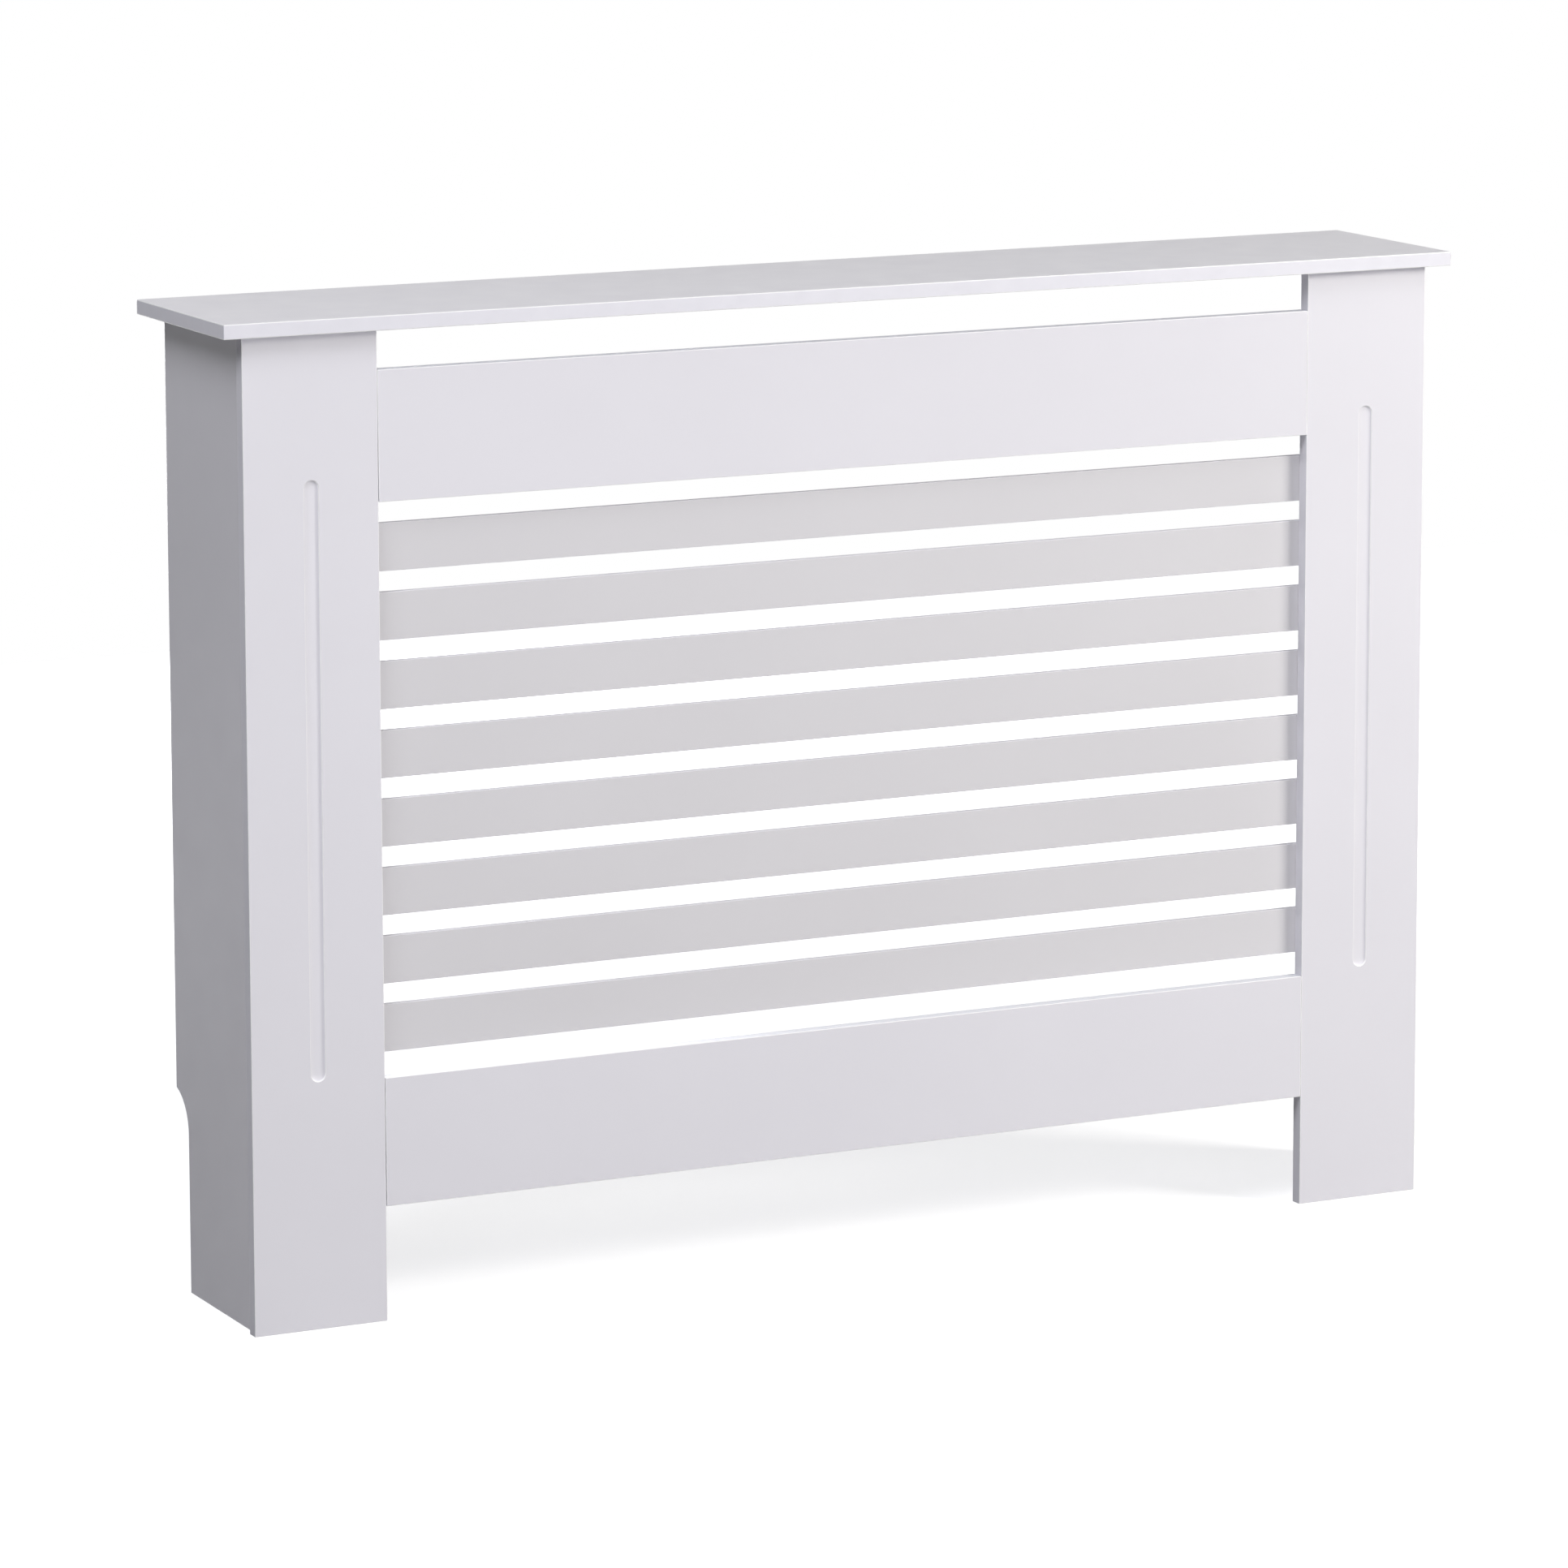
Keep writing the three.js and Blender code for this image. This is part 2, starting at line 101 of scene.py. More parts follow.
# ---------------------------------------------------------------- fittings
BORE_ROOM = 0.3 * MM
CAM_BORE_EXTRA = 6 * BORE_ROOM
COUNTERSINK_PAST = 1 * MM   # how far a countersink's cutter stands out of the wood
ROUND_SIDES = 40
TURNED_CREASE = 35          # the angle, in degrees, up to which two faces shade as one
BENT_CREASE = 30

SCREW_HEAD = 3.5 * MM       # radius
SCREW_SHANK = 1.75 * MM     # radius
SCREW_POINT = 2.5 * MM      # length
SCREW_CROSS = (4.2 * MM, 0.9 * MM, 1.3 * MM)    # a recess: its length, its bars' width, its depth
HEAD_SUNK = 0.05 * MM       # how far a countersunk head lies under the wood's face
HEAD_CHAMFER = 0.25 * MM    # the width of its rim's chamfer
HEAD_RIM = 0.3 * MM         # the depth that the chamfer ends at
PAN_HEAD = 2 * MM
PAN_FULLNESS = 0.9          # the share of the head's height that its dome takes
PAN_ARC = range(0, 91, 15)  # degrees from the dome's top to its rim

CAM_CROSS = (7 * MM, 1.4 * MM, 2 * MM)
CAM_SOFT = 0.4 * MM         # the chamfer round the disc
CAM_DISH = 0.5 * MM         # how far the face lies inside its rim
CAM_RIM = 1.2 * MM          # the rim's width

BRACKET_STEEL = 1.5 * MM
BRACKET_BEND = 2.2 * MM     # the outer radius
BRACKET_HOLE = 2.5 * MM     # radius
HOLE_CUT = 6 * MM           # the length of a hole's cutter
OUTER_BEND_STEPS = 8
INNER_BEND_STEPS = 6

# ---------------------------------------------------------------- tolerances
WELD = 1e-7                 # points this close are one
ON_LINE = 1e-6              # how near a bend's line an edge lies
TOUCH = 1e-5                # how deep a fitting has to reach into a board to be bored for

# ---------------------------------------------------------------- camera, fitted to the photograph's edges
CAMERA_AT = (-2.5436, -5.1372, 1.4858)
CAMERA_AZIMUTH = 26.105
CAMERA_ELEVATION = 8.878
CAMERA_ROLL = -0.122
CAMERA_LENS = 159.87
CAMERA_SHIFT_Y = -0.150
CAMERA_REACH = 200
SENSOR = 36

# ---------------------------------------------------------------- light
KEY_AT = (2.49, -2.12, 1.75)
KEY_SIZE = (1.25, 0.8)
KEY_POWER = 76
KEY_TINT = (1.0, 0.98, 0.94)
FILL_AT = (-2.3, -1.6, 3.3)
FILL_SIZE = (1.8, 1.8)
FILL_POWER = 84
FRONT_AT = (0.2, -4.0, 0.25)
FRONT_SIZE = (1.4, 0.4)
FRONT_POWER = 39
REAR_AT = (0.3, 3.0, 0.5)   # lower than the shelf's top, which it leaves alone
REAR_SIZE = (2.0, 0.6)
REAR_POWER = 32
COOL_TINT = (0.945, 0.952, 1.0)
WHITE = (1, 1, 1, 1)
SKY_BASE = 0.01
SKY_FROM_FRONT = 0.12
SKY_FROM_ABOVE = 0.09
SKY_GATHER = 2              # how closely the sky's light gathers in front and overhead
FLOOR_BOUNCE = 0.23         # how much light the floor throws back up, where it isn't seen directly
FLOOR_SEEN = 0.8            # how much light it throws to the eye
FLOOR_LIFT = 0.67           # near the object, whose shadow it lets through
FLOOR_LIFT_FAR = 1.0        # further off, where the floor passes into the white background
FLOOR_FADE = (0.7, 1.6)     # where the one gives way to the other, from the object's middle
FLOOR_SIZE = 6
SHOWING_RAYS = ("Is Camera Ray", "Is Glossy Ray", "Is Transmission Ray")

# ---------------------------------------------------------------- finishes
# a noise is its scale in waves per metre, its detail and, where it isn't the plain one, its roughness
NOISE_ROUGHNESS = 0.5
NOISE_MIDDLE = (0.3, 0.7)   # the range that most of a noise's values lie in
MIX_FACTOR, MIX_DARK, MIX_LIGHT, MIX_COLOUR = 0, 6, 7, 2

PAINT_DRIFT = (5.0, 3.0)
PAINT_PATCHES = (38.0, 4.0)
PAINT_PEEL = (520.0, 2.5)
PAINT_FLOW = (26.0, 2.0)
PAINT_SPREAD = (-0.04, 0.05)    # how far the patches lie to either side of a paint's roughness
PEEL_HEIGHT = 0.00012
FLOW_HEIGHT = 0.0002
FLOW_STRENGTH = 0.35
PAINT_SHINE = 0.15              # how strongly paint mirrors

EDGE_DRIFT = (60.0, 4.0)
EDGE_FIBRES = (1400.0, 4.0, 0.65)
EDGE_ROUGHNESS = 0.54
EDGE_SPREAD = (-0.06, 0.06)
FUR_HEIGHT = 0.00015
FUR_STRENGTH = 0.25

ARRIS_DRIFT = (90.0, 3.0)
ARRIS_ROUGHNESS = (0.29, 0.35)

ZINC_SPANGLE = (700.0, 3.0)
ZINC_SPREAD = (-0.07, 0.09)
ZINC_HEIGHT = 0.00005
ZINC_STRENGTH = 0.2
ZINC_DETAIL = 4.0

BEECH_GRAIN = (900.0, 5.0)
BEECH_STRETCH = (0.08, 1.0, 1.0)
BEECH_DARK = (0.5, 0.32, 0.17)
BEECH_LIGHT = (0.68, 0.47, 0.28)
BEECH_ROUGHNESS = (0.6, 0.78)
BEECH_HEIGHT = 0.0001
BEECH_STRENGTH = 0.3


class Nodes:
    """Short ways to add and join nodes in one material's or world's tree."""

    def __init__(self, owner):
        owner.use_nodes = True
        self.tree = owner.node_tree
        self.tree.nodes.clear()

    def node(self, kind, **sockets):
        """Adds a node with its sockets set by name, where _ stands for a space."""
        made = self.tree.nodes.new(kind)
        for socket, value in sockets.items():
            made.inputs[socket.replace("_", " ")].default_value = value
        return made

    def join(self, source, output, target, socket):
        self.tree.links.new(source.outputs[output], target.inputs[socket])

    def reckon(self, operation, first, second, clamp=False):
        """One step of arithmetic on two numbers or outputs."""
        step = self.tree.nodes.new("ShaderNodeMath")
        step.operation = operation
        step.use_clamp = clamp
        for socket, value in zip(step.inputs, (first, second)):
            if isinstance(value, (int, float)):
                socket.default_value = value
            else:
                self.tree.links.new(value, socket)
        return step.outputs[0]


class Finish(Nodes):
    """One material, whose shader is driven by noise on the object's own coordinates."""

    def __init__(self, name, offset=(0, 0, 0), stretch=(1, 1, 1)):
        self.material = bpy.data.materials.new(name)
        super().__init__(self.material)
        self.shader = self.node("ShaderNodeBsdfPrincipled")
        self.join(self.shader, "BSDF", self.node("ShaderNodeOutputMaterial"), "Surface")
        self.place = self.node("ShaderNodeMapping", Location=offset, Scale=stretch)
        self.join(self.node("ShaderNodeTexCoord"), "Object", self.place, "Vector")

    def noise(self, scale, detail, roughness=NOISE_ROUGHNESS):
        made = self.node("ShaderNodeTexNoise", Scale=scale, Detail=detail, Roughness=roughness)
        self.join(self.place, "Vector", made, "Vector")
        return made

    def spread(self, noise, low, high):
        """Spreads a noise's middle range over low to high."""
        start, end = NOISE_MIDDLE
        ranged = self.node("ShaderNodeMapRange", From_Min=start, From_Max=end, To_Min=low, To_Max=high)
        self.join(noise, "Fac", ranged, "Value")
        return ranged

    def colour(self, noise, dark, light):
        mix = self.node("ShaderNodeMix")
        mix.data_type = "RGBA"
        mix.inputs[MIX_DARK].default_value = (*dark, 1)
        mix.inputs[MIX_LIGHT].default_value = (*light, 1)
        self.join(self.spread(noise, 0, 1), "Result", mix, MIX_FACTOR)
        self.join(mix, MIX_COLOUR, self.shader, "Base Color")

    def roughen(self, noise, low, high):
        self.join(self.spread(noise, low, high), "Result", self.shader, "Roughness")

    def relief(self, *layers):
        """Lays bumps on each other, the lowest first, each a (noise, strength, height)."""
        below = None
        for noise, strength, height in layers:
            bump = self.node("ShaderNodeBump", Strength=strength, Distance=height)
            self.join(noise, "Fac", bump, "Height")
            if below:
                self.join(below, "Normal", bump, "Normal")
            below = bump
        self.join(below, "Normal", self.shader, "Normal")

    def hold(self, socket, value):
        """Gives one of the shader's sockets the same value all over."""
        self.shader.inputs[socket].default_value = value


def paint(name, dark, light, roughness, peel, offset):
    """Sprayed satin paint: faint tone drift, uneven gloss and a fine orange peel."""
    finish = Finish(name, offset)
    low, high = (roughness + step for step in PAINT_SPREAD)
    finish.colour(finish.noise(*PAINT_DRIFT), dark, light)
    finish.roughen(finish.noise(*PAINT_PATCHES), low, high)
    flow = finish.noise(*PAINT_FLOW)
    orange_peel = finish.noise(*PAINT_PEEL)
    finish.relief((flow, FLOW_STRENGTH, FLOW_HEIGHT), (orange_peel, peel, PEEL_HEIGHT))
    finish.hold("Specular IOR Level", PAINT_SHINE)
    return finish.material


def edge_paint(name, dark, light, offset, roughness=EDGE_ROUGHNESS, shine=PAINT_SHINE):
    """Paint on a sawn board edge: the fibres drink it, so it is slightly furry."""
    finish = Finish(name, offset)
    low, high = (roughness + step for step in EDGE_SPREAD)
    finish.colour(finish.noise(*EDGE_DRIFT), dark, light)
    fibres = finish.noise(*EDGE_FIBRES)
    finish.roughen(fibres, low, high)
    finish.relief((fibres, FUR_STRENGTH, FUR_HEIGHT))
    finish.hold("Specular IOR Level", shine)
    return finish.material


def arris_highlight_paint(name, dark, light):
    """Paint on an eased edge, glossier than on the flats, and paler: a painted highlight along the edge."""
    finish = Finish(name)
    drift = finish.noise(*ARRIS_DRIFT)
    finish.colour(drift, dark, light)
    finish.roughen(drift, *ARRIS_ROUGHNESS)
    return finish.material


def plated_metal(name, dark, light, roughness, grain_scale):
    """Zinc: patchy tone, fine grain and a little unevenness."""
    finish = Finish(name)
    low, high = (roughness + step for step in ZINC_SPREAD)
    finish.colour(finish.noise(*ZINC_SPANGLE), dark, light)
    grain = finish.noise(grain_scale, ZINC_DETAIL)
    finish.roughen(grain, low, high)
    finish.relief((grain, ZINC_STRENGTH, ZINC_HEIGHT))
    finish.hold("Metallic", 1)
    return finish.material


def beech_wood(name):
    """Bare beech: long pale grain with short dark flecks."""
    finish = Finish(name, stretch=BEECH_STRETCH)
    grain = finish.noise(*BEECH_GRAIN)
    finish.colour(grain, BEECH_DARK, BEECH_LIGHT)
    finish.roughen(grain, *BEECH_ROUGHNESS)
    finish.relief((grain, BEECH_STRENGTH, BEECH_HEIGHT))
    return finish.material


board_paint = paint(
    "board_paint", dark=(0.79, 0.775, 0.812), light=(0.81, 0.795, 0.832),
    roughness=0.32, peel=0.18, offset=(0, 0, 0),
)
# a darker copy of board_paint: painted shade on the side panels
shaded_panel_paint = paint(
    "shaded_panel_paint", dark=(0.713, 0.7, 0.737), light=(0.732, 0.72, 0.757),
    roughness=0.33, peel=0.18, offset=(0.2, 0.5, 0.4),
)
slat_paint = paint(
    "slat_paint", dark=(0.70, 0.685, 0.70), light=(0.72, 0.705, 0.72),
    roughness=0.4, peel=0.22, offset=(0.7, 0.3, 0.1),
)
board_edge = edge_paint(
    "board_edge", dark=(0.805, 0.795, 0.84), light=(0.83, 0.82, 0.865), offset=(0, 0, 0),
)
# paler and bluer than board_edge: a painted bluish sheen on the rails' edges, whose top faces lie in the
# shelf's shade
rail_edge_painted_sheen = edge_paint(
    "rail_edge_painted_sheen", dark=(0.82, 0.83, 0.88), light=(0.84, 0.85, 0.9), offset=(0.1, 0.6, 0),
    roughness=0.36, shine=0.6,
)
slat_edge = edge_paint(
    "slat_edge", dark=(0.79, 0.78, 0.81), light=(0.81, 0.8, 0.83), offset=(0.7, 0.3, 0.1),
)
# paler than board_paint and board_edge: a painted highlight along the boards' arrises and the grooves' rims
board_arris_highlight = arris_highlight_paint("board_arris_highlight", dark=(0.93, 0.92, 0.93), light=(0.96, 0.95, 0.95))
zinc_steel = plated_metal(
    "zinc_steel", dark=(0.55, 0.56, 0.58), light=(0.68, 0.69, 0.7),
    roughness=0.3, grain_scale=2500.0,
)
zinc_alloy = plated_metal(
    "zinc_alloy", dark=(0.42, 0.43, 0.44), light=(0.52, 0.53, 0.54),
    roughness=0.45, grain_scale=1800.0,
)
beech = beech_wood("beech")

# the places of a board's three paints among its materials
FACE, SAWN, EASED = 0, 1, 2
BOARD_PAINTS = (board_paint, board_edge, board_arris_highlight)
PANEL_PAINTS = (shaded_panel_paint, board_edge, board_arris_highlight)
RAIL_PAINTS = (board_paint, rail_edge_painted_sheen, board_arris_highlight)
SLAT_PAINTS = (slat_paint, slat_edge, slat_edge)

# ---------------------------------------------------------------- directions and families of nodes
ALONG_Y = 1
UP = Vector((0, 0, 1))
TO_FRONT = Vector((0, -1, 0))
TO_REAR = Vector((0, 1, 0))

CAMS = [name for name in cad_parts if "_cam_" in name]
BOLTS = [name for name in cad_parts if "_bolt_" in name]
DOWELS = [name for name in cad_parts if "_dowel_" in name]
SLAT_SCREWS = [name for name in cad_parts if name.startswith("slat_screw_")]
BRACKET_SCREWS = [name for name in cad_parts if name.startswith("bracket_screw_")]
SLATS = sorted(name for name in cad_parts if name.startswith("slat_") and name not in SLAT_SCREWS)


# ---------------------------------------------------------------- shape helpers
def node_box(name):
    low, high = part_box(name)
    return Vector(low), Vector(high)


def block_mesh(low, high):
    shape = bmesh.new()
    bmesh.ops.create_cube(shape, size=1)
    bmesh.ops.scale(shape, vec=high - low, verts=shape.verts)
    bmesh.ops.translate(shape, vec=(low + high) / 2, verts=shape.verts)
    return shape


def thicken(shape, outline, thickness):
    """Fills an outline that stands across X, and extrudes it along X."""
    face = shape.faces.new(outline)
    grown = bmesh.ops.extrude_face_region(shape, geom=[face])
    far = [item for item in grown["geom"] if isinstance(item, bmesh.types.BMVert)]
    bmesh.ops.translate(shape, vec=(thickness, 0, 0), verts=far)
    bmesh.ops.recalc_face_normals(shape, faces=shape.faces)


def ease(shape, edges, arris, steps=ARRIS_STEPS):
    bmesh.ops.bevel(
        shape,
        geom=edges,
        offset=arris,
        offset_type="OFFSET",
        affect="EDGES",
        segments=steps,
        profile=ARRIS_ROUND,
        material=-1,
    )


def sharp_edges(shape, degrees):
    limit = math.radians(degrees)
    return [edge for edge in shape.edges if edge.is_manifold and edge.calc_face_angle(0) > limit]


def turned_mesh(profile, start, direction):
    """Spins a profile of (radius, distance along the axis) about the axis from start along direction."""
    shape = bmesh.new()
    line = [shape.verts.new((radius, 0, along)) for radius, along in profile]
    edges = [shape.edges.new(pair) for pair in zip(line, line[1:])]
    bmesh.ops.spin(
        shape,
        geom=line + edges,
        cent=(0, 0, 0),
        axis=UP,
        angle=math.tau,
        steps=ROUND_SIDES,
        use_merge=True,
    )
    bmesh.ops.remove_doubles(shape, verts=shape.verts, dist=WELD)
    bmesh.ops.recalc_face_normals(shape, faces=shape.faces)
    aim = UP.rotation_difference(direction).to_matrix().to_4x4()
    bmesh.ops.transform(shape, matrix=Matrix.Translation(start) @ aim, verts=shape.verts)
    return shape


def rod_mesh(radius, length, start, direction):
    return turned_mesh([(0, 0), (radius, 0), (radius, length), (0, length)], start, direction)


def loose_object(name, shape, materials=()):
    mesh = bpy.data.meshes.new(name)
    shape.to_mesh(mesh)
    shape.free()
    for material in materials:
        mesh.materials.append(material)
    made = bpy.data.objects.new(name, mesh)
    bpy.context.scene.collection.objects.link(made)
    return made


def carve(target, cutters):
    """Cuts the cutters out of the target for good, and removes them."""
    for cutter in cutters:
        step = target.modifiers.new("carve", "BOOLEAN")
        step.operation = "DIFFERENCE"
        step.solver = "EXACT"
        step.object = cutter
    bpy.context.view_layer.update()
    carved = target.evaluated_get(bpy.context.evaluated_depsgraph_get())
    mesh = bpy.data.meshes.new_from_object(carved)
    target.modifiers.clear()
    old = target.data
    target.data = mesh
    mesh.name = old.name
    bpy.data.meshes.remove(old)
    for cutter in cutters:
        cut_mesh = cutter.data
        bpy.data.objects.remove(cutter)
        bpy.data.meshes.remove(cut_mesh)


def dress(piece, slot, *nodes):
    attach(piece, "root")
    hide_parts(*nodes)


# ---------------------------------------------------------------- bores for the fittings
def axis_of(name):
    """The index of a round fitting's axis: the side of its box that is unlike the other two."""
    low, high = node_box(name)
    size = high - low
    gaps = [abs(size[(i + 1) % 3] - size[(i + 2) % 3]) for i in range(3)]
    return gaps.index(min(gaps))


def radius_of(name):
    low, high = node_box(name)
    return (high - low)[(axis_of(name) + 1) % 3] / 2


def bore_mesh(name):
    if name in SLAT_SCREWS:
        return countersink_mesh(name)
    low, high = node_box(name)
    axis = axis_of(name)
    length = (high - low)[axis] + 2 * BORE_ROOM
    if name in CAMS:
        length += CAM_BORE_EXTRA
    direction = Vector([1.0 if i == axis else 0.0 for i in range(3)])
    start = (low + high) / 2 - direction * length / 2
    return rod_mesh(radius_of(name) + BORE_ROOM, length, start, direction)


def countersink_mesh(name):
    low, high = node_box(name)
    middle = (low + high) / 2
    head = SCREW_HEAD + BORE_ROOM
    shank = SCREW_SHANK + BORE_ROOM
    length = high.y - low.y + BORE_ROOM
    profile = [(0, -COUNTERSINK_PAST), (head + COUNTERSINK_PAST, -COUNTERSINK_PAST)]
    profile += [(shank, head - shank), (shank, length), (0, length)]
    return turned_mesh(profile, Vector((middle.x, high.y, middle.z)), TO_FRONT)


def touching(low, high, names):
    """The fittings whose boxes reach into a board's box."""
    found = []
    for name in names:
        other_low, other_high = node_box(name)
        if all(other_low[i] < high[i] - TOUCH and other_high[i] > low[i] + TOUCH for i in range(3)):
            found.append(name)
    return found


def bores_through(low, high):
    names = touching(low, high, CAMS + BOLTS + DOWELS + SLAT_SCREWS + BRACKET_SCREWS)
    return [loose_object("bore_" + name, bore_mesh(name)) for name in names]


# ---------------------------------------------------------------- boards
def mark_edges(piece, low, high):
    """Tells a board's two broad faces, its sawn edges and its arrises apart by how squarely they stand."""
    size = high - low
    thin = min(range(3), key=lambda i: size[i])
    for polygon in piece.data.polygons:
        across = abs(polygon.normal[thin])
        if across > FLAT:
            polygon.material_index = FACE
        elif across < 1 - FLAT:
            polygon.material_index = SAWN
        else:
            polygon.material_index = EASED


def painted_board(name, shape, paints, cutters=()):
    """Bores an eased board for its fittings, and paints its faces, sawn edges and arrises."""
    low, high = node_box(name)
    piece = loose_object(name + "_board", shape, paints)
    carve(piece, [*cutters, *bores_through(low, high)])
    mark_edges(piece, low, high)
    return piece


def shorten(shape, left_top, left_foot, right):
    """Draws a rail's ends in from its stiles, the left end by more at its foot than at its top."""
    middle = sum((vert.co for vert in shape.verts), Vector()) / len(shape.verts)
    for vert in shape.verts:
        if vert.co.x > middle.x:
            vert.co.x -= right
        else:
            vert.co.x += left_top if vert.co.z > middle.z else left_foot


def board(name, arris, paints, slot, seams=None):
    shape = block_mesh(*node_box(name))
    if seams:
        shorten(shape, *seams)
    ease(shape, shape.edges[:], arris)
    dress(painted_board(name, shape, paints), slot, name)


def notched_outline(shape, low, high):
    """A side panel's outline in its own plane, with the notch's arc at the rear foot."""
    notch_y = high.y - NOTCH_DEPTH
    arc_middle = Vector((low.x, notch_y + NOTCH_RADIUS, NOTCH_STRAIGHT))
    sweep = math.acos((NOTCH_RADIUS - NOTCH_DEPTH) / NOTCH_RADIUS)
    arc_start = shape.verts.new((low.x, notch_y, NOTCH_STRAIGHT))
    bmesh.ops.spin(
        shape,
        geom=[arc_start],
        cent=arc_middle,
        axis=(1, 0, 0),
        angle=-sweep,
        steps=NOTCH_STEPS,
    )
    arc = sorted(shape.verts, key=lambda vert: vert.co.z)
    corners = [(high.y, high.z), (low.y, high.z), (low.y, low.z), (notch_y, low.z)]
    return arc + [shape.verts.new((low.x, y, z)) for y, z in corners]


def side_panel(name):
    low, high = node_box(name)
    shape = bmesh.new()
    thicken(shape, notched_outline(shape, low, high), high.x - low.x)
    ease(shape, sharp_edges(shape, PANEL_CORNER), BOARD_ARRIS)
    dress(painted_board(name, shape, PANEL_PAINTS), "painted_board", name)


# ---------------------------------------------------------------- stiles and their grooves
def groove_levels(half):
    """The groove's section from above its rim to its floor, as (reach from the middle, depth)."""
    levels = [(half + GROOVE_FLARE, -GROOVE_FLARE), (half + GROOVE_RIM, -GROOVE_CLEAR)]
    for ring in range(GROOVE_RINGS + 1):
        across = half * (1 - ring / GROOVE_RINGS) ** GROOVE_PACE
        depth = GROOVE_DEPTH * (1 - (across / half) ** GROOVE_FULLNESS) ** (1 / GROOVE_FULLNESS)
        levels.append((max(across, GROOVE_LEAST * half), depth + GROOVE_SINK))
    return levels


def groove_ring(shape, radius, y, middle_x, low_z, high_z):
    """One level of the groove: a rounded slot, as a ring of edges."""
    ring = []
    for end_z, first in ((high_z, 0.0), (low_z, math.pi)):
        for step in range(GROOVE_END_STEPS + 1):
            angle = first + math.pi * step / GROOVE_END_STEPS
            x = middle_x + radius * math.cos(angle)
            z = end_z + radius * math.sin(angle)
            ring.append(shape.verts.new((x, y, z)))
    return [shape.edges.new(pair) for pair in zip(ring, ring[1:] + ring[:1])]


def groove_cutter(low, high):
    half = GROOVE_WIDTH / 2
    middle_x = (low.x + high.x) / 2
    low_z = GROOVE_LOW_END + half
    high_z = high.z - GROOVE_TOP_MARGIN - half
    shape = bmesh.new()
    rings = [
        groove_ring(shape, radius, low.y + depth, middle_x, low_z, high_z)
        for radius, depth in groove_levels(half)
    ]
    for upper, lower in zip(rings, rings[1:]):
        bmesh.ops.bridge_loops(shape, edges=upper + lower)
    bmesh.ops.contextual_create(shape, geom=rings[0])
    bmesh.ops.contextual_create(shape, geom=rings[-1])
    bmesh.ops.recalc_face_normals(shape, faces=shape.faces)
    return loose_object("groove_cutter", shape)


def smooth_groove(piece, low, high):
    """Shades the groove smooth, and paints its rim like an arris, with the arrises' painted highlight, and
    its floor like the face.
    """
    reach = GROOVE_WIDTH / 2 + 2 * GROOVE_RIM
    middle_x = (low.x + high.x) / 2
    lowest = GROOVE_LOW_END - GROOVE_RIM
    highest = high.z - GROOVE_TOP_MARGIN + GROOVE_RIM
    for polygon in piece.data.polygons:
        centre = polygon.center
        depth = centre.y - low.y
        inside = abs(centre.x - middle_x) < reach and lowest < centre.z < highest
        if inside and GROOVE_SKIN < depth < GROOVE_DEEPEST:
            polygon.use_smooth = True
            polygon.material_index = EASED if depth < GROOVE_RIM_DEPTH else FACE


def stile(name):
    low, high = node_box(name)
    shape = block_mesh(low, high)
    ease(shape, shape.edges[:], BOARD_ARRIS)
    piece = painted_board(name, shape, BOARD_PAINTS, [groove_cutter(low, high)])
    smooth_groove(piece, low, high)
    dress(piece, "painted_board", name)


# ---------------------------------------------------------------- fittings
def cross_cutters(centre, axis, cross):
    """Two crossing bars, for the driver recess in a head."""
    length, width, depth = cross
    bars = []
    for long_axis in (i for i in range(3) if i != axis):
        half = Vector((0, 0, 0))
        for i in range(3):
            half[i] = depth if i == axis else (length if i == long_axis else width) / 2
        bars.append(loose_object("recess_bar", block_mesh(centre - half, centre + half)))
    return bars


def smooth_by_angle(piece, degrees):
    piece.data.shade_smooth()
    piece.data.set_sharp_from_angle(angle=math.radians(degrees))


def turned_fitting(name, profile, head, direction, cross, metal, slot):
    """A fitting turned from its profile, with a cross recess in the face of its head."""
    axis = [abs(part) for part in direction].index(1)
    piece = loose_object(name + "_turned", turned_mesh(profile, head, direction), (metal,))
    carve(piece, cross_cutters(head, axis, cross))
    smooth_by_angle(piece, TURNED_CREASE)
    dress(piece, slot, name)


def slat_screw(name):
    """A countersunk screw, driven in from the back of its slat."""
    low, high = node_box(name)
    middle = (low + high) / 2
    length = high.y - low.y
    profile = [(0, HEAD_SUNK), (SCREW_HEAD - HEAD_CHAMFER, HEAD_SUNK), (SCREW_HEAD, HEAD_RIM)]
    profile += [(SCREW_SHANK, SCREW_HEAD - SCREW_SHANK), (SCREW_SHANK, length - SCREW_POINT), (0, length)]
    head = Vector((middle.x, high.y, middle.z))
    turned_fitting(name, profile, head, TO_FRONT, SCREW_CROSS, zinc_steel, "zinc_steel")


def bracket_screw(name):
    """A screw with a domed head, driven up into the shelf."""
    low, high = node_box(name)
    middle = (low + high) / 2
    length = high.z - low.z
    angles = [math.radians(degrees) for degrees in PAN_ARC]
    profile = [
        (SCREW_HEAD * math.sin(angle), PAN_HEAD * (1 - math.cos(angle)) * PAN_FULLNESS)
        for angle in angles
    ]
    profile += [(SCREW_HEAD, PAN_HEAD), (SCREW_SHANK, PAN_HEAD)]
    profile += [(SCREW_SHANK, length - SCREW_POINT), (0, length)]
    head = Vector((middle.x, middle.y, low.z))
    turned_fitting(name, profile, head, UP, SCREW_CROSS, zinc_steel, "zinc_steel")


